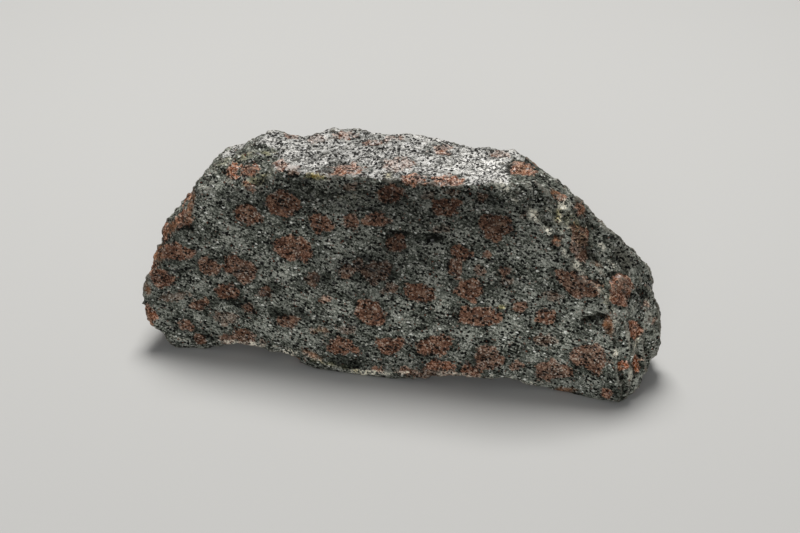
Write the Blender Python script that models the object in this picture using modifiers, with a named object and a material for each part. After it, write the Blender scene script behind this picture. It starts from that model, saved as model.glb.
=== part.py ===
"""A hand specimen of garnet eclogite: one broken slab of rock that stands on its long narrow edge.

The frame is the rock's own: X runs along the slab, -Y is the smooth front face, +Z is up, and the
origin is below the middle of the bounding box, on the surface that the rock rests on.
All driving dimensions are millimetres; the last step scales them to metres.
"""
import math

import bmesh
import bpy
from mathutils import Euler, Matrix, Vector, noise

NAME = "garnet_eclogite"
METRES_PER_MM = 0.001

# The block that the fractures are cut from, seen from the front.
DEPTH_FRONT = -12.0
DEPTH_BACK = 15.0
ENVELOPE = (
    (-33.2, -1.0), (-35.4, 2.2), (-37.2, 4.3), (-38.2, 7.2), (-37.8, 10.6), (-37.4, 14.0),
    (-36.2, 16.6), (-35.5, 19.4), (-32.8, 22.4), (-30.6, 25.0), (-29.9, 27.4), (-27.0, 30.0),
    (-23.4, 33.0), (-20.0, 36.0), (21.0, 36.0), (23.2, 31.9), (29.6, 28.2), (34.4, 24.6), (37.0, 22.0),
    (39.4, 16.8), (41.2, 9.6), (41.4, 6.4), (40.2, 2.4), (38.4, -1.0),
)

# Fracture planes: a point on the plane, and the way that it faces. Each cuts away all that lies
# outside it.
FRONT_LEAN = math.radians(6.0)
FRACTURES = {
    "front face": ((0, -7.5, 0), (0, -math.cos(FRONT_LEAN), math.sin(FRONT_LEAN))),
    "top face": ((0, 2, 32.1), (-0.02, -0.02, 1)),
    "upper back": ((0, 11.1, 32), (0.06, 0.99, 0.14)),
    "lower back": ((0, 13.4, 19), (-0.03, 0.988, -0.156)),
    "right flank": ((26.2, -4.9, 24.6), (0.54, -0.63, 0.56)),
    "right end": ((36.0, -6.3, 11.1), (0.88, -0.436, 0.181)),
    "right top corner": ((20.2, 4.5, 32.9), (0.42, 0.12, 0.9)),
    "upper right back": ((29.4, 2.6, 27.6), (0.57, 0.50, 0.65)),
    "lower right back": ((40.6, 5.0, 9.0), (0.87, 0.48, 0.12)),
    "right bottom corner": ((41.7, -2.4, 1.9), (0.72, -0.45, -0.53)),
    "left flank": ((-31.6, -5.2, 21.6), (-0.72, -0.50, 0.45)),
    "left shoulder": ((-24.2, -4.1, 31.6), (-0.42, 0.10, 0.90)),
    "left back corner": ((-33.0, 8.0, 14), (-0.68, 0.72, 0.12)),
    "left bottom corner": ((-35.6, -6.6, 2.0), (-0.55, -0.62, -0.56)),
    "back bottom edge": ((0, 10.8, 2.2), (0.03, 0.68, -0.73)),
    "resting face": ((0, 0, 0), (0, 0, -1)),
}
EDGE_WEAR = 0.45

# Wedge chips: what lies outside both of two planes is gone, as where a flake has sprung off.
CHIP_WEDGES = {
    "shoulder chip": (((-23.0, -4.6, 28.2), (-0.16, -0.60, 0.78)), ((-17.9, -4.0, 30.0), (-0.88, -0.30, 0.36))),
    "back ledge": (((6.0, 9.6, 25.4), (0.09, 0.40, 0.91)), ((6.0, 11.9, 28.0), (-0.06, 0.99, 0.12))),
    "left end ledge": (((-36.6, 3.0, 17.8), (-0.20, 0.14, 0.97)), ((-34.9, 3.0, 20.0), (-0.95, 0.22, 0.20))),
}
# Lens chips: place, half size, and turn in degrees about X, Y and Z.
CHIP_LENSES = {
    "groove behind the shoulder": ((-19.2, 0.4, 32.9), (2.4, 6.0, 2.1), (14, 10, -20)),
    "pit by the right edge": ((32.6, -7.1, 14.6), (2.3, 1.5, 1.1), (0, -14, 8)),
    "hollow in the right flank": ((31.4, -3.0, 24.6), (1.7, 1.7, 6.0), (0, -42, 30)),
    "step in the right ridge": ((28.2, 4.6, 31.0), (2.2, 4.0, 2.0), (0, 32, -18)),
    "scar low on the right end": ((42.0, -3.0, 4.4), (2.2, 3.0, 2.6), (0, 20, 20)),
    "hollow in the back": ((-12.0, 16.2, 17.0), (13.0, 5.0, 8.0), (0, 10, 6)),
    "scar on the back": ((21.0, 15.0, 10.0), (9.0, 4.2, 5.5), (0, -16, -12)),
    "chip in the lower edge": ((-14.6, -8.4, 0.4), (3.2, 2.4, 2.2), (0, 12, 0)),
}

# Swells and hollows that are too soft for a cut: centre, reach, and how far the surface moves.
SWELLS = {
    "hump at the left of the top": ((-21.4, 9.6, 31.8), 4.2, (0, 0.3, 0.7)),
    "dip in the back rim": ((-15.6, 11.0, 32.2), 2.8, (0, -0.5, -0.8)),
    "hump in the back rim": ((-10.0, 11.0, 32.2), 4.2, (0, 0.3, 1.1)),
    "second hump in the back rim": ((1.0, 11.0, 32.2), 6.5, (0, 0.3, 0.6)),
    "rise of the front corner": ((17.6, -3.6, 32.6), 4.6, (0.2, 0, 1.0)),
    "lip over the front face": ((-6.0, -4.6, 31.6), 5.4, (0, -0.9, 0.1)),
    "garnet in the lip": ((-3.4, -4.2, 32.2), 2.0, (0, -0.3, 0.5)),
    "hollow under the lip": ((-4.0, -5.2, 28.0), 5.0, (0, 0.5, 0)),
    "second lip": ((9.0, -4.2, 32.0), 4.6, (0, -0.4, 0.1)),
    "belly of the front face": ((-2.0, -7.0, 9.0), 17.0, (0, -0.5, 0)),
    "hollow of the front face": ((14.0, -5.8, 18.0), 12.0, (0, 0.35, 0)),
    "foot set back at the left": ((-24.0, -7.4, 0.8), 8.5, (0, 1.9, 1.2)),
    "foot set back at the right": ((27.0, -7.4, 0.8), 9.0, (0, 1.9, 0.9)),
    "bulge of the left end": ((-38.0, 2.0, 9.0), 6.0, (0.5, -0.2, 0)),
    "bump on the right ridge": ((34.8, 1.4, 24.6), 2.6, (0.4, -0.2, 0.7)),
    "belly of the back": ((2.0, 13.4, 20.0), 12.0, (0, 0.8, 0)),
}

# The underside touches the table on flat spots only. Between them it is hollow.
REST_SPOTS = (
    ((-3.5, -5.0), (6.0, 3.2)), ((-31.5, -1.5), (4.0, 4.5)), ((31.5, -2.5), (5.0, 4.5)),
    ((6.0, 6.4), (14.0, 2.8)), ((-20.0, 5.4), (8.0, 2.8)),
)
UNDERSIDE_HOLLOW = 1.7
UNDERSIDE_FACING = -0.8
FOOT_HEIGHT = 3.5
LEVEL_WITHIN = 0.02

# The broken surface. The layers of the rock lie almost level and rise a little to the right.
LAYER_TILT = math.radians(-9.0)
LAYER_THICKNESS = 2.6
FRONT_ROUGHNESS = 0.16
BROKEN_ROUGHNESS = 0.42
WORKING_GRID = 0.5
TRIANGLES = 8800
CUTTER_REACH = 110.0

ROCK_COLOUR = (0.115, 0.112, 0.094, 1.0)
ROCK_ROUGHNESS = 0.82


def new_collection(name):
    """Add a collection to the scene."""
    collection = bpy.data.collections.new(name)
    bpy.context.scene.collection.children.link(collection)
    return collection


def envelope_solid():
    """Extrude the front outline along Y and return it as a bmesh in millimetres."""
    curve = bpy.data.curves.new("envelope", "CURVE")
    curve.dimensions = "2D"
    curve.fill_mode = "BOTH"
    curve.extrude = (DEPTH_BACK - DEPTH_FRONT) / 2
    outline = curve.splines.new("POLY")
    outline.points.add(len(ENVELOPE) - 1)
    for point, (x, z) in zip(outline.points, ENVELOPE):
        point.co = (x, z, 0, 1)
    outline.use_cyclic_u = True
    guide = bpy.data.objects.new("envelope", curve)
    bpy.context.scene.collection.objects.link(guide)
    shape = bpy.data.meshes.new_from_object(guide)
    bm = bmesh.new()
    bm.from_mesh(shape)
    bmesh.ops.remove_doubles(bm, verts=bm.verts[:], dist=0.0001)
    stand_up = Matrix.Rotation(math.radians(90), 4, "X")
    middle = Matrix.Translation((0, (DEPTH_BACK + DEPTH_FRONT) / 2, 0))
    bmesh.ops.transform(bm, matrix=middle @ stand_up, verts=bm.verts[:])
    bpy.data.objects.remove(guide)
    bpy.data.curves.remove(curve)
    bpy.data.meshes.remove(shape)
    return bm


def cut_fractures(bm):
    """Cut the block back to each fracture plane and close it there with a flat face."""
    for point, facing in FRACTURES.values():
        everything = bm.verts[:] + bm.edges[:] + bm.faces[:]
        bmesh.ops.bisect_plane(
            bm, geom=everything, dist=0.0001, plane_co=point, plane_no=Vector(facing).normalized(),
            clear_outer=True)
        rim = [edge for edge in bm.edges if edge.is_boundary]
        bmesh.ops.holes_fill(bm, edges=rim, sides=0)
    bmesh.ops.dissolve_limit(bm, angle_limit=0.01, verts=bm.verts[:], edges=bm.edges[:])
    bmesh.ops.recalc_face_normals(bm, faces=bm.faces[:])


def wear_edges(bm):
    """Take the knife edge off every arris."""
    bmesh.ops.bevel(
        bm, geom=bm.edges[:], offset=EDGE_WEAR, segments=1, profile=0.5, affect="EDGES",
        clamp_overlap=True)
    bmesh.ops.remove_doubles(bm, verts=bm.verts[:], dist=0.02)


def mesh_object(name, bm, collection):
    """Put a bmesh in a new object."""
    mesh = bpy.data.meshes.new(name)
    bm.to_mesh(mesh)
    thing = bpy.data.objects.new(name, mesh)
    collection.objects.link(thing)
    return thing


def hide_cutter(cutter):
    """Keep a cutter out of sight."""
    cutter.hide_render = True
    cutter.display_type = "WIRE"
    return cutter


def wedge_cutter(name, planes, collection):
    """Add a cutter that fills what lies outside both planes."""
    bm = bmesh.new()
    bmesh.ops.create_cube(bm, size=CUTTER_REACH)
    bmesh.ops.translate(bm, vec=planes[0][0], verts=bm.verts[:])
    for point, facing in planes:
        everything = bm.verts[:] + bm.edges[:] + bm.faces[:]
        bmesh.ops.bisect_plane(
            bm, geom=everything, dist=0.0001, plane_co=point, plane_no=Vector(facing).normalized(),
            clear_inner=True)
        rim = [edge for edge in bm.edges if edge.is_boundary]
        bmesh.ops.holes_fill(bm, edges=rim, sides=0)
    bmesh.ops.recalc_face_normals(bm, faces=bm.faces[:])
    cutter = mesh_object(name, bm, collection)
    bm.free()
    return hide_cutter(cutter)


def lens_cutter(name, shape, collection):
    """Add a ball-like cutter with coarse facets, so that a chip keeps flat scars."""
    place, half_size, turn = shape
    bm = bmesh.new()
    bmesh.ops.create_icosphere(bm, subdivisions=2, radius=1.0)
    rotation = Euler([math.radians(angle) for angle in turn]).to_matrix().to_4x4()
    size = Matrix.Diagonal((*half_size, 1))
    bmesh.ops.transform(bm, matrix=Matrix.Translation(place) @ rotation @ size, verts=bm.verts[:])
    cutter = mesh_object(name, bm, collection)
    bm.free()
    return hide_cutter(cutter)


def chipped(rock, cutters):
    """Subtract every cutter from the rock and return the result as a bmesh."""
    for cutter in cutters:
        chip = rock.modifiers.new(cutter.name, "BOOLEAN")
        chip.operation = "DIFFERENCE"
        chip.solver = "EXACT"
        chip.object = cutter
    depsgraph = bpy.context.evaluated_depsgraph_get()
    shape = bpy.data.meshes.new_from_object(rock.evaluated_get(depsgraph))
    bm = bmesh.new()
    bm.from_mesh(shape)
    bpy.data.meshes.remove(shape)
    return bm


def remodelled(bm, name, collection, settings):
    """Run one modifier over a bmesh and return the result as a new bmesh."""
    source = mesh_object(name, bm, collection)
    bm.free()
    modifier = source.modifiers.new(name, settings["type"])
    for setting, value in settings.items():
        if setting != "type":
            setattr(modifier, setting, value)
    depsgraph = bpy.context.evaluated_depsgraph_get()
    shape = bpy.data.meshes.new_from_object(source.evaluated_get(depsgraph))
    result = bmesh.new()
    result.from_mesh(shape)
    bpy.data.meshes.remove(shape)
    bpy.data.objects.remove(source)
    return result


def smooth_step(low, high, value):
    """Blend from 0 at low to 1 at high."""
    share = min(max((value - low) / (high - low), 0), 1)
    return share * share * (3 - 2 * share)


def swell(place):
    """The push that the named swells and hollows give to one point."""
    push = Vector()
    for centre, reach, move in SWELLS.values():
        distance = (place - Vector(centre)).length / reach
        push += Vector(move) * math.exp(-distance * distance)
    return push


def layer_step(place):
    """Terraces where the rock has parted along its layers, from about -1 to 1."""
    across = place.z * math.cos(LAYER_TILT) + place.x * math.sin(LAYER_TILT) + 0.12 * place.y
    across += 1.6 * noise.noise(place * 0.11)
    phase = across / LAYER_THICKNESS
    share = phase - math.floor(phase)
    here = noise.noise(Vector((math.floor(phase) * 1.7, place.x * 0.07, place.y * 0.09)))
    above = noise.noise(Vector((math.floor(phase + 1) * 1.7, place.x * 0.07, place.y * 0.09)))
    return 1.8 * (here + (above - here) * smooth_step(0.72, 1.0, share))


def roughness(place, facing):
    """How far a point of the surface stands out from its fracture plane."""
    frontness = smooth_step(0.80, 0.97, -facing.y)
    topness = smooth_step(0.75, 0.95, facing.z)
    broad = noise.fractal(place * 0.16, 0.9, 2.1, 3, noise_basis="PERLIN_ORIGINAL")
    along = Vector((place.x * 0.10, place.y * 0.42, place.z * 0.42))
    ridged = noise.ridged_multi_fractal(along, 1.0, 2.0, 3, 1.0, 2.0, noise_basis="PERLIN_ORIGINAL")
    fine = noise.noise(place * 0.75)
    broken = 0.9 * broad + 0.28 * fine
    parting = smooth_step(-0.35, 0.25, noise.noise(place * 0.085 + Vector((7.0, 0, 0))))
    broken += 0.75 * parting * layer_step(place) * (1 - topness) + 0.35 * (ridged - 1.0) * topness
    polished = 0.8 * broad + 0.35 * fine
    return BROKEN_ROUGHNESS * broken * (1 - frontness) + FRONT_ROUGHNESS * polished * frontness


def underside_height(place):
    """How far the underside stands clear of the table at one point, 0 on the resting spots."""
    nearest = 10.0
    for (x, y), (reach_x, reach_y) in REST_SPOTS:
        nearest = min(nearest, math.hypot((place.x - x) / reach_x, (place.y - y) / reach_y))
    ripple = 0.25 * noise.noise(place * 0.5)
    return UNDERSIDE_HOLLOW * smooth_step(1.0, 2.6, nearest + ripple)


def weather(bm):
    """Give the flat fractures their lumps, ledges, pits and ridges."""
    bm.normal_update()
    facings = {vert: vert.normal.copy() for vert in bm.verts}
    for vert, facing in facings.items():
        place = vert.co.copy()
        if place.z < WORKING_GRID and facing.z < UNDERSIDE_FACING:
            vert.co = place + swell(place)
            vert.co.z = underside_height(place)
            continue
        height = smooth_step(0.0, FOOT_HEIGHT, place.z)
        offset = facing * roughness(place, facing) + swell(place)
        offset.z *= height
        vert.co = place + offset
        vert.co.z = max(vert.co.z + underside_height(place) * (1 - height), 0.0)


def settle(bm):
    """Bring the resting spots exactly level again."""
    for vert in bm.verts:
        if vert.co.z < LEVEL_WITHIN:
            vert.co.z = 0.0


def centre_on_origin(bm):
    """Move the rock so that the middle of its bounding box stands over the origin."""
    for axis in (0, 1):
        values = [vert.co[axis] for vert in bm.verts]
        shift = -(min(values) + max(values)) / 2
        for vert in bm.verts:
            vert.co[axis] += shift
        print("moved", round(shift, 2), "mm along", "XY"[axis])


def rock_material():
    """Dark grey-green groundmass, as the part shows it before its finish."""
    material = bpy.data.materials.new("eclogite")
    material.use_nodes = True
    shader = material.node_tree.nodes["Principled BSDF"]
    shader.inputs["Base Color"].default_value = ROCK_COLOUR
    shader.inputs["Roughness"].default_value = ROCK_ROUGHNESS
    shader.inputs["Metallic"].default_value = 0.0
    return material


def main():
    """Build the rock."""
    for thing in list(bpy.data.objects):
        bpy.data.objects.remove(thing)
    rocks = new_collection(NAME)
    cutter_collection = new_collection("cutters")

    bm = envelope_solid()
    cut_fractures(bm)
    wear_edges(bm)
    blank = mesh_object("blank", bm, cutter_collection)
    bm.free()

    cutters = [wedge_cutter(name, planes, cutter_collection) for name, planes in CHIP_WEDGES.items()]
    cutters += [lens_cutter(name, shape, cutter_collection) for name, shape in CHIP_LENSES.items()]
    bm = chipped(blank, cutters)
    bpy.data.objects.remove(blank)

    even = {"type": "REMESH", "mode": "VOXEL", "voxel_size": WORKING_GRID}
    bm = remodelled(bm, "even faces", cutter_collection, even)
    weather(bm)
    bmesh.ops.triangulate(bm, faces=bm.faces[:])
    fewer = {"type": "DECIMATE", "ratio": TRIANGLES / len(bm.faces)}
    bm = remodelled(bm, "fewer faces", cutter_collection, fewer)
    settle(bm)
    centre_on_origin(bm)
    bmesh.ops.scale(bm, vec=(METRES_PER_MM,) * 3, verts=bm.verts[:])
    rock = mesh_object(NAME, bm, rocks)
    bm.free()
    rock.data.materials.append(rock_material())
    for cutter in cutters:
        cutter.data.transform(Matrix.Scale(METRES_PER_MM, 4))
    print(NAME, "triangles", len(rock.data.polygons), "size mm", [round(side * 1000, 1) for side in rock.dimensions])


main()
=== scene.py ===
# %% [markdown]
# # A hand specimen of garnet eclogite
# Garnet eclogite is a rock from deep in the crust: a fine grey-green groundmass of pyroxene, with
# round red-brown garnets grown into it like raisins in a cake. This specimen is one broken slab.
# It stands on its long narrow edge. Its front is a nearly flat break, and its top is a paler one.
#
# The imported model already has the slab's form, as a few thousand flat facets. This script adds what a
# hand lens would show: the rough skin of the breaks, the garnets, and the finish of each mineral.

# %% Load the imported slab
import math

import bpy
import numpy as np
from mathutils import Matrix, Vector, noise
from mathutils.bvhtree import BVHTree


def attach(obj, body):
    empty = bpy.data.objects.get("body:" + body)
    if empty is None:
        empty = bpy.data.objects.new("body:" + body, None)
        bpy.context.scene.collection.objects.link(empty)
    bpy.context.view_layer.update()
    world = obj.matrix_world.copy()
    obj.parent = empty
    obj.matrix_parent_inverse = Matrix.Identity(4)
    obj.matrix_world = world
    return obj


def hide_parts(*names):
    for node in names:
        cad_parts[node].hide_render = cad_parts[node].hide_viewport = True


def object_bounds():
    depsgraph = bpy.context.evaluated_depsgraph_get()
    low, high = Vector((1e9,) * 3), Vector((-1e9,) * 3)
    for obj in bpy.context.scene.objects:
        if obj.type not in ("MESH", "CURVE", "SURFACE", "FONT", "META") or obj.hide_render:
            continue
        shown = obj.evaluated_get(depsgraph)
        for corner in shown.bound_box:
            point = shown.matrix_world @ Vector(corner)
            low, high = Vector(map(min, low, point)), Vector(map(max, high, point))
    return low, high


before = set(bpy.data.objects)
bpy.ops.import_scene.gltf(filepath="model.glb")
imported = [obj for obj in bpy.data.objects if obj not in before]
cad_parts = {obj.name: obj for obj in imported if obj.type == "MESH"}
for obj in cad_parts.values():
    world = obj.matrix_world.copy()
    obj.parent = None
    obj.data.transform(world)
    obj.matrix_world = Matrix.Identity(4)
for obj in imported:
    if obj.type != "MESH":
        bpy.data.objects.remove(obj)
CAD_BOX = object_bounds()
SLAB_NODE = "garnet_eclogite"
MM_PER_METRE = 1000.0
print("packed slab, mm:", [round((high - low) * MM_PER_METRE, 1) for low, high in zip(*CAD_BOX)])

# %% [markdown]
# ## The camera
# The camera comes first, because it does two jobs. It takes the picture, and it also tells where on the
# slab a mark lies that was read off the photograph: a straight line from the camera through the mark
# meets the stone there. A long lens stands well back, so the slab is hardly bent by perspective.

# %% Place the camera
PHOTO_WIDTH, PHOTO_HEIGHT = 800, 533
LENS_MM, SENSOR_MM = 90.0, 36.0
AZIMUTH, ELEVATION = math.radians(14.0), math.radians(27.0)
DISTANCE = 0.305
AIM = Vector((-0.00032, -0.00206, 0.0150))
CLIP_FROM, CLIP_TO = 0.01, 20.0

BACK = Vector((
    math.sin(AZIMUTH) * math.cos(ELEVATION), -math.cos(AZIMUTH) * math.cos(ELEVATION), math.sin(ELEVATION)))
RIGHT = Vector((math.cos(AZIMUTH), math.sin(AZIMUTH), 0.0))
UP = BACK.cross(RIGHT)
FOCAL_PIXELS = PHOTO_WIDTH * LENS_MM / SENSOR_MM

camera_data = bpy.data.cameras.new("specimen camera")
camera_data.lens = LENS_MM
camera_data.sensor_width = SENSOR_MM
camera_data.clip_start, camera_data.clip_end = CLIP_FROM, CLIP_TO
camera = bpy.data.objects.new("specimen camera", camera_data)
camera.location = AIM + BACK * DISTANCE
camera.rotation_mode = "QUATERNION"
camera.rotation_quaternion = (-BACK).to_track_quat("-Z", "Y")
bpy.context.scene.collection.objects.link(camera)
bpy.context.scene.camera = camera
print("camera stands", round(camera.location.z, 3), "m above the table")

# %% [markdown]
# ## A finer skin for the slab
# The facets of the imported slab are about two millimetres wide, and rock is rough at a tenth of that. One
# way would be to subdivide each facet, but its corners would stay visible as a net. A voxel remesh
# instead lays an even grid of small faces over the whole form, so the later carving is equally fine
# everywhere. A little smoothing then takes away the last of the flat facets. The spots that the stone
# rests on are left flat.

# %% Remesh a copy of the slab
SKIN_GRID_MM = 0.335
WELD_MM = 0.0005


def fine_skin(node):
    """Return a new mesh in millimetres that covers the node's form with even small faces."""
    facets = node.data.copy()
    facets.transform(Matrix.Scale(MM_PER_METRE, 4))
    draft = bpy.data.objects.new("slab draft", facets)
    bpy.context.scene.collection.objects.link(draft)
    weld = draft.modifiers.new("join the facets", "WELD")
    weld.merge_threshold = WELD_MM
    remesh = draft.modifiers.new("even skin", "REMESH")
    remesh.mode = "VOXEL"
    remesh.voxel_size = SKIN_GRID_MM
    depsgraph = bpy.context.evaluated_depsgraph_get()
    mesh = bpy.data.meshes.new_from_object(draft.evaluated_get(depsgraph))
    bpy.data.objects.remove(draft)
    bpy.data.meshes.remove(facets)
    return mesh


skin = fine_skin(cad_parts[SLAB_NODE])
print("skin:", len(skin.vertices), "vertices,", len(skin.polygons), "faces")


# %% Read the skin into arrays
def read_points(mesh, what="co"):
    """Read the mesh's places or normals as an array with a row for each vertex."""
    flat = np.empty(len(mesh.vertices) * 3, np.float32)
    mesh.vertices.foreach_get(what, flat)
    return flat.reshape(-1, 3).astype(float)


def write_points(mesh, points):
    """Put an array of places back in the mesh."""
    mesh.vertices.foreach_set("co", points.astype(np.float32).ravel())
    mesh.update()


def span(values):
    """The least and the largest value, to be printed."""
    return round(float(values.min()), 2), round(float(values.max()), 2)


places = read_points(skin)
edge_ends = np.empty(len(skin.edges) * 2, np.int32)
skin.edges.foreach_get("vertices", edge_ends)
edge_ends = edge_ends.reshape(-1, 2)
valence = np.bincount(edge_ends.ravel(), minlength=len(places))[:, None]
print("neighbours of a vertex:", span(valence))

# %% Smooth the skin
SMOOTHING_PASSES = 5
FACING_PASSES = 3
SHARE_PER_PASS = 0.5


def relaxed(values, passes):
    """Move every row of an array some way towards the mean of its neighbours on the skin."""
    values = values.copy()
    for _ in range(passes):
        total = np.zeros_like(values)
        for column in range(values.shape[1]):
            total[:, column] = np.bincount(edge_ends[:, 0], values[edge_ends[:, 1], column], len(values))
            total[:, column] += np.bincount(edge_ends[:, 1], values[edge_ends[:, 0], column], len(values))
        values += SHARE_PER_PASS * (total / valence - values)
    return values


smooth = relaxed(places, SMOOTHING_PASSES)
resting = places[:, 2] < SKIN_GRID_MM
smooth[resting] = places[resting]
places = smooth
write_points(skin, places)
facing = relaxed(read_points(skin, "normal"), FACING_PASSES)
facing /= np.linalg.norm(facing, axis=1)[:, None]
print("smoothed, heights in mm:", span(places[:, 2]))

# %% [markdown]
# ## From the photograph to the stone
# Each mark on the photographed side is written down as its place in the picture, in pixels across and
# down, with half its width, half its height and its turn in degrees. `print_of` throws that place onto
# the stone. A mark goes a little way into the rock too, as a real crystal does, so it becomes an
# ellipsoid and not a stamp: it can't smear down a steep side or come out at the back. Where the stone
# turns away from the camera, the mark goes deeper, but never more than twice as deep.
#
# Real marks aren't neat ovals. So each vertex is read a little beside its true place, by a slow wobble
# of noise. Thin marks get less of it, or it would push them aside.

# %% Make the wobble
WOBBLE_MM = 0.9
WOBBLE_WAVES_PER_MM = 0.34
WOBBLE_SHIFTS = (20.0, 60.0, 90.0)
OCTAVE_FALL, OCTAVE_STEP = 0.8, 2.1


def noise_over(points, scale, octaves=1):
    """Sample smooth noise at every point, after scaling the point."""
    points = points * np.array(scale)
    if octaves == 1:
        return np.array([noise.noise(Vector(point)) for point in points])
    return np.array([noise.fractal(Vector(point), OCTAVE_FALL, OCTAVE_STEP, octaves) for point in points])


wobble = np.stack([noise_over(places + shift, WOBBLE_WAVES_PER_MM) for shift in WOBBLE_SHIFTS], axis=1)
wobble *= WOBBLE_MM
print("outlines wobble by, mm:", span(wobble))

# %% Find the stone behind a pixel
BVH = BVHTree.FromPolygons(
    [Vector(place) for place in places], [tuple(face.vertices) for face in skin.polygons])
CAMERA_MM = camera.location * MM_PER_METRE
MIDDLE_PIXEL = Vector((400.0, 270.0))
PIXELS_INWARD = 20


def point_on_stone(across, down):
    """Find where the line of sight through a pixel meets the stone, and which way the stone faces.

    A pixel that just misses the outline is moved inward, one pixel at a time.
    """
    pixel = Vector((across, down))
    for _ in range(PIXELS_INWARD):
        sideways = (pixel.x - PHOTO_WIDTH / 2) / FOCAL_PIXELS
        upwards = (PHOTO_HEIGHT / 2 - pixel.y) / FOCAL_PIXELS
        sight = (-BACK + RIGHT * sideways + UP * upwards).normalized()
        hit, normal, _, _ = BVH.ray_cast(CAMERA_MM, sight)
        if hit:
            return hit, normal
        pixel += (MIDDLE_PIXEL - pixel).normalized()
    raise ValueError(f"nothing of the stone is near pixel {across}, {down}")


print("one pixel at the stone is", round(DISTANCE * MM_PER_METRE / FOCAL_PIXELS, 3), "mm")

# %% Throw a mark onto the stone
CAMERA_AXES = np.array((RIGHT, UP, BACK))
DEPTH_TO_WIDTH = 1.2
LEAST_SLANT = 0.5
FULL_WOBBLE_RADIUS_MM = 1.8


def print_of(across, down, half_width, half_height, turn):
    """Give each vertex's distance from a mark's middle, where 1 is its rim, and the mark's radius in mm."""
    hit, normal = point_on_stone(across, down)
    mm_per_pixel = (CAMERA_MM - hit).dot(BACK) / FOCAL_PIXELS
    slant = max(abs(normal.dot(BACK)), LEAST_SLANT)
    depth = DEPTH_TO_WIDTH * max(half_width, half_height) / slant
    radius = min(half_width, half_height) * mm_per_pixel
    share_of_wobble = min(1.0, radius / FULL_WOBBLE_RADIUS_MM)
    seen = (places + share_of_wobble * wobble - np.array(hit)) @ CAMERA_AXES.T
    seen -= seen[np.argmin(((places - np.array(hit)) ** 2).sum(axis=1))]
    angle = math.radians(turn)
    along = seen[:, 0] * math.cos(angle) + seen[:, 1] * math.sin(angle)
    beside = seen[:, 1] * math.cos(angle) - seen[:, 0] * math.sin(angle)
    share = np.stack((along / half_width, beside / half_height, seen[:, 2] / depth)) / mm_per_pixel
    return np.linalg.norm(share, axis=0), radius


print("a mark goes at least", DEPTH_TO_WIDTH, "times its half size deep")

# %% [markdown]
# ## The garnets
# A garnet grows as a ball inside the rock, and a break cuts through it, so on the surface it shows as a
# round or oval patch with a rough rim. The list holds the ones that can be seen: place, half size, turn,
# tone and strength. Tone runs from 0 for dark brown over red-brown to 1 for bright orange-red, which is
# how fresh chips on the edges look. A weak strength is a garnet that only just shows through.

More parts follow.
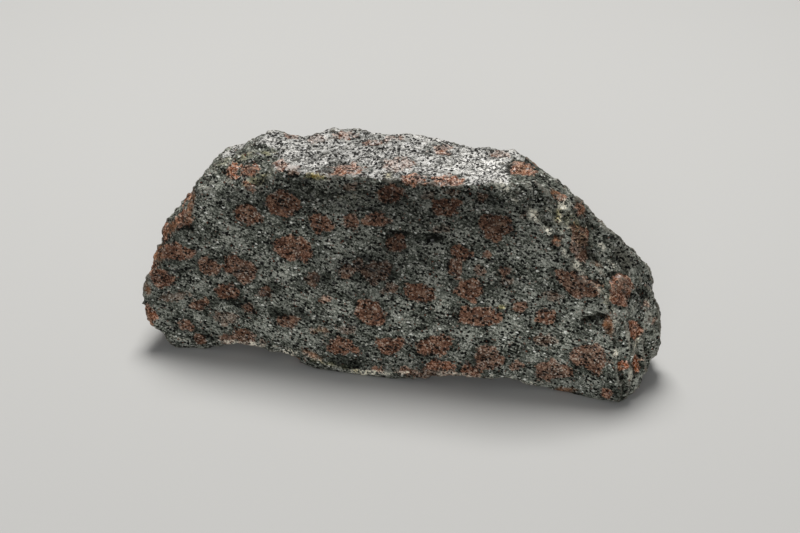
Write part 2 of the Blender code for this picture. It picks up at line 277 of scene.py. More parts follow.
# %% List the garnets that can be seen
FRONT_GARNETS = [
    (281, 200, 17, 13, -5, 0.55, 1.0), (249, 212, 15, 9, -20, 0.55, 1.0), (294, 246, 21, 13, -14, 0.6, 1.0),
    (174, 251, 22, 8, -4, 0.6, 1.0), (206, 264, 12, 9, -30, 0.45, 0.9), (231, 261, 9, 10, 0, 0.52, 1.0),
    (245, 268, 13, 10, -15, 0.5, 0.9), (161, 278, 13, 9, -8, 0.6, 1.0), (225, 290, 13, 8, -8, 0.52, 1.0),
    (263, 292, 7, 6, -10, 0.4, 0.9), (199, 305, 9, 6, -10, 0.5, 0.9), (172, 297, 14, 4, 8, 0.35, 0.5),
    (149, 313, 8, 10, 30, 0.76, 1.0), (187, 325, 8, 6, -10, 0.6, 0.9), (226, 317, 12, 8, 0, 0.45, 0.5),
    (199, 338, 6, 6, 0, 0.62, 0.8), (228, 338, 9, 6, 0, 0.55, 0.9), (244, 334, 9, 8, -20, 0.5, 0.9),
    (288, 321, 12, 7, -8, 0.42, 0.9), (248, 307, 8, 5, -8, 0.35, 0.9), (263, 342, 5, 4, 0, 0.5, 0.8),
    (322, 221, 14, 10, 0, 0.55, 1.0), (353, 220, 10, 8, 0, 0.6, 0.9), (379, 219, 12, 8, 0, 0.6, 0.9),
    (392, 191, 15, 11, 0, 0.35, 1.0), (447, 205, 16, 10, 0, 0.4, 1.0), (350, 184, 7, 4, 0, 0.5, 0.5),
    (398, 241, 11, 9, 0, 0.2, 1.0), (461, 252, 11, 8, 0, 0.5, 1.0), (457, 268, 8, 10, 0, 0.5, 0.9),
    (314, 278, 7, 8, 0, 0.2, 0.8), (346, 269, 7, 7, 0, 0.4, 0.8), (359, 264, 6, 6, 0, 0.3, 0.7),
    (376, 272, 14, 12, 0, 0.2, 0.8), (392, 287, 9, 6, 0, 0.25, 0.7), (424, 293, 16, 10, 0, 0.5, 1.0),
    (371, 312, 15, 13, 0, 0.48, 1.0), (348, 330, 12, 5, 0, 0.45, 0.5), (322, 331, 9, 4, 0, 0.35, 0.7),
    (341, 345, 17, 8, -8, 0.6, 1.0), (393, 348, 15, 10, 0, 0.6, 1.0), (441, 344, 17, 13, 0, 0.6, 1.0),
    (442, 367, 16, 7, 0, 0.68, 1.0), (421, 372, 37, 4, -3, 0.7, 0.7), (472, 371, 12, 8, 0, 0.62, 1.0),
    (327, 297, 8, 4, 0, 0.75, 0.6), (472, 287, 16, 11, 0, 0.5, 1.0), (478, 317, 20, 13, 0, 0.58, 1.0),
    (496, 221, 16, 14, -30, 0.22, 1.0), (484, 194, 7, 4, 0, 0.3, 0.7), (509, 271, 7, 5, 0, 0.5, 0.8),
    (508, 280, 8, 4, 0, 0.5, 0.5), (522, 307, 8, 6, 0, 0.5, 0.9), (548, 316, 10, 7, 0, 0.52, 1.0),
    (577, 284, 24, 12, -26, 0.55, 0.9), (547, 338, 12, 6, -10, 0.45, 0.5), (557, 296, 9, 5, 0, 0.5, 0.5),
    (492, 356, 15, 12, -25, 0.55, 0.9), (519, 365, 6, 5, 0, 0.6, 0.8), (557, 369, 20, 13, -8, 0.52, 0.86),
    (594, 359, 20, 14, -22, 0.55, 0.86), (442, 227, 8, 5, 0, 0.4, 0.4), (430, 191, 7, 4, 0, 0.4, 0.4),
    (455, 191, 7, 4, 0, 0.4, 0.4), (487, 252, 5, 4, 0, 0.45, 0.8), (482, 270, 5, 5, 0, 0.45, 0.8),
    (527, 213, 5, 4, 0, 0.45, 0.4),
]
TOP_AND_SIDE_GARNETS = [
    (346, 167, 17, 7, 4, 0.85, 0.9), (415, 177, 12, 6, 0, 0.9, 1.0), (450, 178, 14, 6, -4, 0.88, 1.0),
    (281, 163, 8, 7, -20, 0.8, 0.8), (250, 167, 10, 6, 0, 0.74, 0.9), (232, 170, 6, 9, 0, 0.84, 1.0),
    (250, 184, 9, 4, -20, 0.8, 0.8), (346, 132, 12, 4, 5, 0.8, 0.7), (292, 133, 9, 3, 0, 0.75, 0.6),
    (373, 140, 9, 5, 0, 0.8, 0.6), (394, 137, 8, 3, 0, 0.75, 0.6), (320, 137, 10, 3, 10, 0.75, 0.5),
    (443, 147, 11, 5, 8, 0.8, 0.8), (401, 161, 17, 8, 0, 0.8, 0.5), (524, 166, 13, 10, -40, 0.74, 0.9),
    (503, 153, 10, 4, -10, 0.75, 0.6), (292, 166, 8, 5, -20, 0.75, 0.4), (563, 194, 6, 4, 0, 0.8, 0.9),
    (581, 206, 7, 5, 0, 0.8, 0.9), (582, 245, 13, 16, 20, 0.7, 0.72), (558, 240, 4, 4, 0, 0.7, 0.8),
    (576, 226, 4, 4, 0, 0.7, 0.8), (625, 287, 15, 16, 0, 0.66, 1.0), (638, 331, 10, 9, 0, 0.74, 1.0),
    (648, 303, 4, 4, 0, 0.7, 0.8), (656, 320, 5, 5, 0, 0.72, 0.7), (190, 196, 6, 11, -20, 0.72, 1.0),
    (182, 218, 10, 8, 30, 0.72, 0.9), (163, 233, 9, 10, 30, 0.7, 1.0), (148, 262, 5, 9, 10, 0.72, 0.9),
    (626, 366, 6, 6, 0, 0.92, 1.0), (641, 364, 5, 6, 0, 0.96, 1.0), (610, 393, 6, 5, 0, 0.7, 1.0),
]
seen_garnets = FRONT_GARNETS + TOP_AND_SIDE_GARNETS
print(len(seen_garnets), "garnets on the photographed side")

# %% [markdown]
# The back and the underside aren't in the photograph, but the same rock goes on there. So garnets of the
# same sizes are scattered over the part that the camera can't see, with a fixed seed so that they lie
# the same each time. Each is a little flatter than a ball and set partly in.

# %% Scatter the garnets that can't be seen
SCATTER_SEED = 11
SCATTER_TRIES = 6000
HIDDEN_GARNETS = 78
HIDDEN_FACING = -0.10
SPACING = 1.02
LEAST_RADIUS_MM, LARGEST_RADIUS_MM = 0.9, 3.1
SMALL_ONES_FAVOURED = 1.3
DEEPEST_SETTING = 0.5
HIDDEN_TONES = (0.35, 0.8)
HIDDEN_STRENGTHS = (1.0, 1.0, 1.0, 0.6)

random = np.random.default_rng(SCATTER_SEED)
unseen = np.flatnonzero(facing @ np.array(BACK) < HIDDEN_FACING)
hidden_garnets = []
for _ in range(SCATTER_TRIES):
    if len(hidden_garnets) == HIDDEN_GARNETS:
        break
    size = random.random() ** SMALL_ONES_FAVOURED
    radius = LEAST_RADIUS_MM + (LARGEST_RADIUS_MM - LEAST_RADIUS_MM) * size
    vertex = random.choice(unseen)
    centre = places[vertex] - facing[vertex] * radius * DEEPEST_SETTING * random.random()
    tone = random.uniform(*HIDDEN_TONES)
    strength = random.choice(HIDDEN_STRENGTHS)
    gaps = [np.linalg.norm(centre - other[0]) - SPACING * (radius + other[1]) for other in hidden_garnets]
    if not gaps or min(gaps) > 0:
        hidden_garnets.append((centre, radius, tone, strength))
print(len(hidden_garnets), "garnets on the hidden side")

# %% [markdown]
# The finish doesn't need a shape for each garnet. It is enough that every vertex knows how deep it lies
# in the nearest one, in millimetres, below 0 outside, and what tone and strength that garnet has.

# %% Find how deep every vertex lies in the nearest garnet
FAR_OUTSIDE_MM = -6.0
MIDDLE_TONE = 0.5
HEIGHT_TO_WIDTH = 0.74
garnet_depth = np.full(len(places), FAR_OUTSIDE_MM)
garnet_tone = np.full(len(places), MIDDLE_TONE)
garnet_strength = np.zeros(len(places))


def add_garnet(rim_distance, radius, tone, strength):
    """Let each vertex belong to the garnet in which it lies deepest, or to the nearest one."""
    depth = (1.0 - rim_distance) * radius
    closer = depth > garnet_depth
    garnet_depth[closer] = depth[closer]
    garnet_tone[closer] = tone
    garnet_strength[closer] = strength


for *place_and_size, tone, strength in seen_garnets:
    add_garnet(*print_of(*place_and_size), tone, strength)
for centre, radius, tone, strength in hidden_garnets:
    offsets = (places - centre) / (radius, radius, radius * HEIGHT_TO_WIDTH)
    add_garnet(np.linalg.norm(offsets, axis=1), radius * HEIGHT_TO_WIDTH, tone, strength)
print("share of the surface that is garnet:", round(float((garnet_depth > 0).mean()), 2))

# %% [markdown]
# ## Stains, pale marks and painted shadows
# A weathered specimen isn't one colour between its garnets. Iron has left rusty and olive stains where
# water got in along the edges, rubbed spots are pale, and some dark green patches hold more pyroxene.
# Other dark marks are painted shadow: the thin crescents under small ledges and pits on the front.
# They could be painted by hand, but a list of marks can be read and changed: place, half size, turn and
# strength. `spread` turns a list into one soft value on every vertex.

# %% List the stains, the pale marks and the painted shadows
# Dark patches: partly pyroxene-rich rock, partly painted shadow. The crescents from (391, 234) to (436, 238)
# are painted shade under small ledges and pits.
DARK_PATCHES_AND_PAINTED_SHADOWS = [
    (308, 188, 26, 13, 0, 0.55), (240, 302, 14, 6, -15, 1.0), (276, 288, 10, 6, -10, 1.0),
    (187, 225, 9, 6, 0, 1.0), (205, 314, 8, 4, -10, 0.8), (180, 272, 7, 5, 0, 0.8),
    (281, 312, 13, 7, -10, 1.0), (304, 313, 9, 5, -10, 0.9), (214, 233, 9, 5, 0, 0.7),
    (170, 294, 14, 4, 10, 0.7), (327, 274, 6, 6, 0, 1.0), (394, 274, 8, 7, 0, 0.9), (436, 238, 11, 5, 0, 1.3),
    (326, 275, 9, 6, 0, 0.8), (346, 364, 20, 5, -14, 1.2), (622, 392, 11, 7, 0, 0.8),
    (391, 234, 6, 4, 30, 1.2), (404, 231, 9, 3, 0, 1.2), (418, 238, 7, 3, -40, 1.1),
    (470, 196, 22, 6, 0, 0.5), (500, 205, 16, 8, 0, 0.5), (367, 255, 16, 9, 0, 0.5), (520, 172, 8, 9, 0, 0.5),
    (286, 322, 16, 12, 0, 0.4), (330, 252, 12, 5, 10, 0.4), (262, 332, 14, 6, 0, 0.35),
    (420, 262, 14, 6, 10, 0.4), (430, 322, 16, 5, 10, 0.35),
]
PALE_MARKS = [
    (518, 197, 12, 5, -50, 0.45), (537, 213, 10, 6, -40, 0.8), (551, 230, 7, 5, -50, 0.8),
    (567, 250, 12, 5, -45, 0.6), (581, 266, 10, 6, -40, 0.85), (601, 290, 16, 4, -58, 0.5),
    (590, 225, 6, 4, -40, 0.6), (572, 226, 8, 4, -45, 0.6), (615, 262, 8, 5, -40, 0.6),
    (548, 205, 8, 4, -45, 0.5), (605, 243, 6, 4, -40, 0.7), (616, 325, 3, 16, 0, 0.6),
    (619, 352, 4, 6, 0, 1.0), (290, 352, 12, 3, -8, 1.3), (314, 358, 14, 3, -20, 0.9),
    (367, 373, 22, 3, -4, 1.3), (404, 373, 20, 2, 4, 0.8), (508, 187, 14, 8, -30, 0.6),
    (640, 345, 14, 5, 60, 0.7), (634, 375, 8, 5, 60, 0.8), (650, 300, 5, 8, 0, 0.6),
    (565, 202, 8, 7, -40, 1.0), (561, 216, 4, 10, 15, 0.8), (240, 344, 40, 3, -4, 0.7),
    (460, 378, 40, 3, -8, 0.6), (540, 390, 40, 3, -6, 0.6), (175, 337, 16, 3, -12, 0.6),
    (232, 345, 30, 6, -4, 0.3), (500, 380, 60, 4, -6, 0.4), (588, 300, 10, 26, -20, 0.3),
    (250, 150, 20, 14, 30, 0.35), (612, 300, 8, 22, -20, 0.35), (600, 392, 22, 4, -12, 0.3),
]
RUST_STAINS = [
    (190, 202, 17, 5, 78, 0.9), (172, 226, 14, 5, 40, 0.9), (157, 250, 8, 14, 0, 0.8),
    (147, 288, 4, 10, 0, 0.7), (611, 325, 5, 12, 8, 1.0), (313, 356, 14, 4, -20, 0.8),
    (567, 390, 13, 3, -4, 0.8), (148, 318, 7, 12, 0, 0.7), (230, 175, 12, 12, 0, 0.35),
    (430, 181, 40, 4, 0, 0.5), (524, 168, 15, 13, 0, 0.4), (583, 208, 12, 5, -35, 0.7),
    (556, 191, 8, 4, -35, 0.8), (560, 239, 6, 5, 0, 0.8), (600, 262, 5, 8, 30, 0.5),
    (650, 320, 6, 20, 0, 0.3), (340, 172, 26, 5, -6, 0.5), (315, 131, 12, 4, 0, 0.4),
    (636, 364, 14, 9, 0, 0.35),
]
OLIVE_STAINS = [
    (315, 175, 12, 3, -6, 1.3), (258, 178, 18, 9, 20, 0.6), (505, 306, 6, 3, 0, 0.9),
    (388, 173, 10, 7, 0, 0.5), (222, 160, 16, 10, 35, 0.45), (334, 364, 50, 4, -12, 0.5),
    (560, 215, 6, 12, 10, 0.6), (322, 331, 12, 4, 0, 0.5), (268, 150, 12, 6, 20, 0.5),
    (640, 345, 14, 20, 0, 0.3), (575, 222, 44, 14, -46, 0.45), (370, 194, 130, 16, -3, 0.3),
    (245, 155, 14, 8, 30, 0.5), (610, 295, 10, 34, 20, 0.35),
]


def spread(marks, join=np.maximum):
    """Blend a list of marks into one value for each vertex: full in the middle, gone past the rim."""
    field = np.zeros(len(places))
    for *place_and_size, strength in marks:
        rim_distance, _ = print_of(*place_and_size)
        field = join(field, strength * np.exp(-rim_distance ** 2))
    return field


dark_patch = spread(DARK_PATCHES_AND_PAINTED_SHADOWS)
pale_mark = spread(PALE_MARKS)
rust_stain = spread(RUST_STAINS)
olive_stain = spread(OLIVE_STAINS)
print("rust runs over", span(rust_stain), "and olive over", span(olive_stain))

# %% [markdown]
# ## Pits and the dull part of the top
# Here and there a grain or a splinter has dropped out of the rock. These pits are listed like the
# stains, with a depth in millimetres as the last number. The top is a pale break, and its colour is
# painted whiter still as painted light from the lamp above, except at its left shoulder and its right
# corner, which are as dull as the front. That part is listed too.

# %% List the pits and the dull part of the top
PITS = [
    (436, 238, 9, 5, 0, 0.6), (592, 319, 9, 3, 14, 0.9), (604, 316, 7, 3, -10, 0.9), (619, 342, 4, 6, 0, 0.6),
    (397, 231, 11, 3, 0, 0.4), (298, 156, 8, 2, 20, 0.45), (327, 149, 8, 3, 0, 0.45),
    (280, 152, 5, 2, 0, 0.3), (444, 151, 12, 2, 3, 0.4), (511, 163, 3, 8, 0, 0.6), (188, 226, 8, 5, 0, 0.4),
    (352, 362, 24, 3, -10, 0.3), (376, 268, 11, 6, 0, 0.2), (262, 176, 10, 3, 50, 0.5),
    (187, 226, 6, 4, 0, 0.3), (612, 330, 4, 10, 0, 0.4),
]
DULL_TOP = [
    (246, 160, 32, 24, 30, 1.0), (532, 176, 20, 22, 0, 1.0), (520, 160, 9, 8, 0, 0.8),
    (226, 176, 18, 14, 0, 1.0), (562, 196, 26, 14, -30, 1.0), (600, 222, 24, 16, -30, 1.0),
]
pit_depth = spread(PITS)
dull_top = spread(DULL_TOP)
print("pits in mm:", span(pit_depth))

# %% [markdown]
# ## Broad tones, with painted shade and light
# Over a few centimetres the real rock drifts from darker to lighter, with its mix of minerals and with
# dust. Noise could do this, but the eye knows this stone by its own drift, so it is listed. The list
# also holds painted shade and light: the dark band along the top of the front is painted shade under
# the overhanging top edge, and the lighter lower front is painted light. These wide marks are added up,
# and a negative one makes the rock darker.

# %% List the broad tones, with the painted shade and light
# The first mark is painted shade under the top edge. The third and fourth are painted light on the lower
# front.
TONES_AND_PAINTED_SHADING = [
    (380, 196, 175, 20, -3, -0.55), (440, 250, 55, 35, 0, -0.2), (390, 330, 190, 42, -5, 0.4),
    (560, 345, 85, 45, 0, 0.45), (225, 240, 65, 32, 0, 0.12), (300, 218, 60, 26, 0, 0.15),
    (640, 345, 26, 60, 0, 0.35), (205, 200, 30, 26, 0, 0.25), (240, 325, 90, 26, -4, 0.25),
    (383, 262, 30, 20, 20, -0.4), (345, 262, 15, 10, 0, -0.35), (320, 276, 16, 9, 0, -0.35),
    (290, 313, 26, 7, -8, -0.4), (352, 322, 14, 5, -5, -0.35), (365, 293, 16, 7, -10, -0.4),
    (594, 360, 26, 20, 0, 0.25), (557, 369, 26, 16, 0, 0.2), (424, 293, 18, 12, 0, -0.3),
    (488, 166, 30, 12, 0, 0.45), (355, 150, 26, 8, 10, -0.25), (262, 142, 20, 10, 0, -0.15),
    (455, 300, 40, 10, -8, 0.3), (330, 302, 30, 9, -10, 0.2), (300, 268, 30, 9, -12, 0.25),
    (520, 262, 40, 14, -10, 0.2),
]
broad_tone = spread(TONES_AND_PAINTED_SHADING, np.add)
print("the tone of the rock drifts over", span(broad_tone))

# %% [markdown]
# ## The rough skin
# The front broke along one plane and is fairly smooth. The other sides broke across the layers of the
# rock and are rougher, with small steps that follow the layers. The roughness is made by moving each
# vertex in or out along its normal by some kinds of noise. This could be left to a bump map, but then
# the outline would stay smooth and the mesh would hold nothing of it.

# %% Tell the sides of the slab apart
def blend_from(low, high, value):
    """Blend from 0 at low to 1 at high."""
    share = np.clip((value - low) / (high - low), 0, 1)
    return share * share * (3 - 2 * share)


FRONT_FACING, TOP_FACING, FLANK_FACING = (0.86, 0.97), (0.80, 0.95), (0.30, 0.55)
frontness = blend_from(*FRONT_FACING, -facing[:, 1])
topness = blend_from(*TOP_FACING, facing[:, 2])
flank_side = blend_from(*FLANK_FACING, facing[:, 0]) * (1 - frontness)
print("share of the skin that is smooth front:", round(float(frontness.mean()), 2))

# %% Swell the skin and grain it
FRONT_SWELL_MM, BROKEN_SWELL_MM = 0.12, 0.32
FRONT_GRAIN_MM, BROKEN_GRAIN_MM = 0.06, 0.16
SWELL_WAVES_PER_MM = 0.42
SWELL_OCTAVES = 3
GRAIN_WAVES_PER_MM, SMALL_GRAIN_WAVES_PER_MM = 1.5, 2.7
SMALL_GRAIN_SHARE, SMALL_GRAIN_SHIFT = 0.6, 40.0

swelling = noise_over(places, SWELL_WAVES_PER_MM, SWELL_OCTAVES)
graininess = noise_over(places, GRAIN_WAVES_PER_MM)
graininess += SMALL_GRAIN_SHARE * noise_over(places + SMALL_GRAIN_SHIFT, SMALL_GRAIN_WAVES_PER_MM)
lift = (FRONT_SWELL_MM * frontness + BROKEN_SWELL_MM * (1 - frontness)) * swelling
lift += (FRONT_GRAIN_MM * frontness + BROKEN_GRAIN_MM * (1 - frontness)) * graininess
print("swell and grain, mm:", span(lift))

# %% [markdown]
# The layers are tipped by about twenty degrees. Noise that is sampled in their own frame, slow along
# them and quick across them, makes flat steps where a break crosses them. Every side gets these steps
# except the smooth front and the right flank, which shows long ridges instead. They come next.

# %% Add the layer steps
LAYER_NORMAL = Vector((0.27, -0.27, 1.0)).normalized()
LAYER_STEP_MM = 0.20
STEP_WAVES_PER_MM = (0.16, 0.5, 1.3)
LEDGE_WAVES_PER_MM = (0.35, 1.1, 2.4)
STEP_SHARPNESS = 4.0
LEDGE_SHARE, LEDGE_SHIFT = 0.8, 9.0

layer_tilt = Vector((0.0, 0.0, 1.0)).rotation_difference(LAYER_NORMAL)
layered = places @ np.array(layer_tilt.to_matrix())
steps = 1.0 - np.abs(noise_over(layered, STEP_WAVES_PER_MM)) * STEP_SHARPNESS
steps += LEDGE_SHARE * noise_over(layered + LEDGE_SHIFT, LEDGE_WAVES_PER_MM)
lift += LAYER_STEP_MM * (1 - frontness) * (1 - flank_side) * steps
print("layers are tipped by", round(math.degrees(layer_tilt.angle), 1), "degrees")

# %% [markdown]
# The ridges of the right flank run down along it, and turn steeper on the end of the slab. Taking most
# of the way along that run out of each place stretches the noise into ridges that follow it.

# %% Add the ridges of the right flank
FLANK_RIDGE_MM = 0.65
UPPER_RUN, LOWER_RUN = np.array((0.673, -0.078, -0.736)), np.array((0.10, -0.10, -0.99))
LOWER_RUN_BELOW_MM, UPPER_RUN_ABOVE_MM = 7.0, 18.0
RUN_TURNS_AT_MM = (39.0, 0.0, 13.0)
RUN_TAKEN_OUT = 0.74
RIDGE_WAVES_PER_MM, RIDGE_TOP, RIDGE_SHARPNESS = 0.40, 0.5, 2.0
CREASE_WAVES_PER_MM, CREASE_OCTAVES, CREASE_SHARE, CREASE_SHIFT = 0.9, 3, 0.7, 5.0

upper_share = blend_from(LOWER_RUN_BELOW_MM, UPPER_RUN_ABOVE_MM, places[:, 2])[:, None]
run = LOWER_RUN + (UPPER_RUN - LOWER_RUN) * upper_share
way_along = ((places - RUN_TURNS_AT_MM) * run).sum(axis=1)[:, None]
across_flank = places - way_along * run * RUN_TAKEN_OUT
ridges = RIDGE_TOP - RIDGE_SHARPNESS * np.abs(noise_over(across_flank, RIDGE_WAVES_PER_MM))
ridges += CREASE_SHARE * noise_over(across_flank + CREASE_SHIFT, CREASE_WAVES_PER_MM, CREASE_OCTAVES)
lift += FLANK_RIDGE_MM * flank_side * ridges
print("ridges before they are scaled:", span(ridges))

# %% [markdown]
# A garnet is harder than the groundmass, so it stands out a little where the rock broke roughly, and is
# flush on the smooth front. The pits go in last.

# %% Raise the garnets and sink the pits
GARNET_RISE_MM = 0.16
RISE_ON_THE_FRONT = 0.15
KNOB_DEPTHS_MM = (-0.1, 0.7)

knob = blend_from(*KNOB_DEPTHS_MM, garnet_depth) * garnet_strength
lift += GARNET_RISE_MM * knob * (RISE_ON_THE_FRONT + (1 - RISE_ON_THE_FRONT) * (1 - frontness))
lift -= pit_depth
print("skin moves by, mm:", span(lift))

# %% [markdown]
# The skin is moved, except close to the table, where it must stay flat to rest. The rough skin is then a
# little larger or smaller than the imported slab, so it is scaled to fit the same box. Last, each vertex
# is compared with its smoothed surroundings: edges stand out from them, and hollows lie below.

# %% Move the skin, and keep it off the table
FULL_MOVE_ABOVE_MM = 1.2
SURROUNDING_PASSES = 14

settle = blend_from(0.0, FULL_MOVE_ABOVE_MM, places[:, 2])
carved = places + facing * (lift * settle)[:, None]
carved[:, 2] = np.maximum(carved[:, 2], 0.0)
low_corner, high_corner = (np.array(corner) * MM_PER_METRE for corner in CAD_BOX)
fit = (high_corner - low_corner) / (carved.max(axis=0) - carved.min(axis=0))
carved = low_corner + (carved - carved.min(axis=0)) * fit
write_points(skin, carved)
standing_out = ((carved - relaxed(carved, SURROUNDING_PASSES)) * facing).sum(axis=1)
print("fitted to the packed box by", [round(float(share), 4) for share in fit])
print("edges and hollows, mm:", span(standing_out))

# %% [markdown]
# ## What each vertex knows
# The finish reads its marks from attributes of the mesh: one number for each vertex, under a name. No
# flat map of the stone is needed, as it would be for an image, and there are no seams.

# %% Keep the numbers as attributes of the mesh
FULL_PIT_MM = 0.5
FULL_EDGE_MM = 0.35
DULLING = 1.5

kept_numbers = {
    "garnet_depth": garnet_depth,
    "garnet_tone": garnet_tone,
    "garnet_strength": garnet_strength,
    "dark_patch": dark_patch,
    "pale_mark": pale_mark,
    "rust_stain": rust_stain,
    "broad_tone": broad_tone,
    "flank_ridge": flank_side * np.clip(ridges, -1, 1),
    "rough_break": (1 - frontness) * (1 - topness),
    "olive_stain": olive_stain,
    "pit": np.clip(pit_depth / FULL_PIT_MM, 0, 1),
    # Upward faces: a paler break, and painted light from the lamp above.
    "pale_top": topness * (1 - np.clip(dull_top * DULLING, 0, 1)),
    "rubbed_edge": np.clip(standing_out / FULL_EDGE_MM, -1, 1),
}
for name, values in kept_numbers.items():
    attribute = skin.attributes.new(name, "FLOAT", "POINT")
    attribute.data.foreach_set("value", np.asarray(values, np.float32))
print("each vertex keeps", len(kept_numbers), "numbers")

# %% Make the stone from the skin
skin.transform(Matrix.Scale(1 / MM_PER_METRE, 4))
skin.shade_smooth()
skin.materials.clear()
stone = bpy.data.objects.new("garnet_eclogite_stone", skin)
bpy.context.scene.collection.objects.link(stone)
print(stone.name, "is made")

# %% [markdown]
# ## Writing a finish as sums
# A finish is a web of nodes. Adding them one by one hides the idea behind the wiring, so one small class
# wraps a socket: adding or multiplying two of them adds the Math node that does it. Colours go
# through Mix nodes, because a Math node would turn them grey.

# %% Wrap a socket
class Shade:
    """One output of the finish, so that node maths can be written as Python."""

    def __init__(self, finish, socket):
        self.finish = finish
        self.socket = socket

    def _math(self, operation, *values, clamp=False):
        settings = {"operation": operation, "use_clamp": clamp}
        return self.finish.node("ShaderNodeMath", settings, dict(enumerate(values)))

    def __add__(self, other):
        return self._math("ADD", self, other)

    __radd__ = __add__

    def __sub__(self, other):
        return self._math("SUBTRACT", self, other)

    def __rsub__(self, other):
        return self._math("SUBTRACT", other, self)

    def __mul__(self, other):
        return self._math("MULTIPLY", self, other)

    __rmul__ = __mul__

    def __neg__(self):
        return self._math("MULTIPLY", self, -1.0)

    def limited(self):
        """Keep the value between 0 and 1."""
        return self._math("ADD", self, 0.0, clamp=True)

    def between(self, low, high):
        """Blend smoothly from 0 at low to 1 at high."""
        settings = {"interpolation_type": "SMOOTHSTEP"}
        inputs = {"Value": self, "From Min": low, "From Max": high}
        return self.finish.node("ShaderNodeMapRange", settings, inputs)


print("shades can be added and multiplied")


# %% Wrap a material
def fill_ramp(ramp, stops):
    """Give a colour ramp its stops."""
    while len(ramp.elements) < len(stops):
        ramp.elements.new(1.0)
    for element, (position, colour) in zip(ramp.elements, stops):
        element.position = position
        element.color = (*colour, 1.0)


class Finish:
    """A material that is being made."""

    def __init__(self, name):
        self.material = bpy.data.materials.new(name)
        self.material.use_nodes = True
        self.tree = self.material.node_tree
        self.shader = self.tree.nodes["Principled BSDF"]

    def feed(self, socket, value):
        """Set a socket, or link what feeds it."""
        if isinstance(value, Shade):
            self.tree.links.new(value.socket, socket)
        elif isinstance(value, (tuple, list)) and len(value) == 3 and socket.type == "RGBA":
            socket.default_value = (*value, 1.0)
        else:
            socket.default_value = value

    def give(self, name, value):
        """Feed one of the shader's own sockets."""
        self.feed(self.shader.inputs[name], value)

    def node(self, kind, settings=None, inputs=None, output=0):
        """Add a node: its settings first, then the values or links of its sockets."""
        made = self.tree.nodes.new(kind)
        for name, value in (settings or {}).items():
            if name == "stops":
                fill_ramp(made.color_ramp, value)
            else:
                setattr(made, name, value)
        for name, value in (inputs or {}).items():
            self.feed(made.inputs[name], value)
        return Shade(self, made.outputs[output])

    def kept(self, name):
        """Read one of the numbers that each vertex keeps."""
        return self.node("ShaderNodeAttribute", {"attribute_name": name}, output="Fac")

    def blend(self, factor, first, second, how="MIX"):
        """Blend two colours."""
        settings = {"data_type": "RGBA", "blend_type": how, "clamp_factor": True}
        return self.node("ShaderNodeMix", settings, {0: factor, 6: first, 7: second}, 2)

    def tint(self, factor, first, second):
        """Multiply one colour by another."""
        return self.blend(factor, first, second, "MULTIPLY")

    def ramp(self, value, stops):
        """Turn a value into a colour by a list of stops."""
        return self.node("ShaderNodeValToRGB", {"stops": stops}, {"Fac": value}, "Color")

    def mottle(self, where, scale, detail=2.0, rough=0.5, output="Fac"):
        """Soft noise from 0 to 1, at so many waves a millimetre."""
        inputs = {"Vector": where, "Scale": scale, "Detail": detail, "Roughness": rough}
        return self.node("ShaderNodeTexNoise", {}, inputs, output)

    def swing(self, where, scale, detail=2.0, rough=0.5):
        """Soft noise that swings about 0, to be added to something else."""
        return self.mottle(where, scale, detail, rough) - 0.5

    def crystals(self, where, scale, output="Distance"):
        """Cells like the grains of a rock, at so many a millimetre."""
        return self.node("ShaderNodeTexVoronoi", {}, {"Vector": where, "Scale": scale}, output)

    def scaled(self, vector, scale):
        """Multiply a vector, or every channel of a colour, by a number."""
        return self.node("ShaderNodeVectorMath", {"operation": "SCALE"}, {0: vector, "Scale": scale})

    def combined(self, operation, first, second):
        """Add or subtract two vectors."""
        return self.node("ShaderNodeVectorMath", {"operation": operation}, {0: first, 1: second})

    def channel(self, colour, name):
        """One channel of a colour."""
        return self.node("ShaderNodeSeparateColor", {}, {"Color": colour}, name)


print("the finish tools are ready")

# %% [markdown]
# ## Where on the rock
# A finish without an image starts from the place itself, in millimetres, so that a texture's scale can
# be read as waves or grains a millimetre. The place is bent a little by noise, so that no two grains have
# the same outline. The rock is layered, so most textures are read in the frame of the layers and are
# stretched along them: a little for grains, more for streaks, and most for thin threads.

# %% Find the place, and bend it
BEND_WAVES_PER_MM = 2.2
BEND_MM = 0.42

rock = Finish("eclogite finish")
here = rock.node("ShaderNodeTexCoord", output="Object")
here_mm = rock.scaled(here, MM_PER_METRE)
ripple = rock.mottle(here_mm, BEND_WAVES_PER_MM, output="Color")
ripple = rock.combined("SUBTRACT", ripple, (0.5, 0.5, 0.5))
bent = rock.combined("ADD", here_mm, rock.scaled(ripple, BEND_MM))


def along_layers(stretch):
    """Turn the place into the frame of the layers, and divide it by a stretch along each axis."""
    inputs = {"Vector": bent, "Rotation": layer_tilt.to_euler()[:], "Scale": stretch}
    return rock.node("ShaderNodeMapping", {"vector_type": "TEXTURE"}, inputs)


laid = along_layers((1.35, 1.15, 0.80))
streaked = along_layers((4.2, 2.8, 0.66))
threaded = along_layers((3.4, 1.6, 0.24))
print("the place is bent by up to", BEND_MM / 2, "mm")

# %% [markdown]
# ## Mottling
# The rock is mottled at every size, from clouds of three millimetres down to single grains. Each size
# gets its own noise with a plain name, and every finish below adds them up in its own shares.

# %% Make the mottling
cloud = rock.swing(bent, 0.30, 3.0, 0.55)
streak = rock.swing(streaked, 0.8, 3.0, 0.6)
thread = rock.swing(threaded, 1.0, 1.0)
curd = rock.swing(laid, 0.9, 2.0, 0.6)
felt = rock.swing(laid, 3.0, 2.0, 0.7)
fine = rock.swing(bent, 5.0, 1.0)
print(len(rock.tree.nodes), "nodes so far")

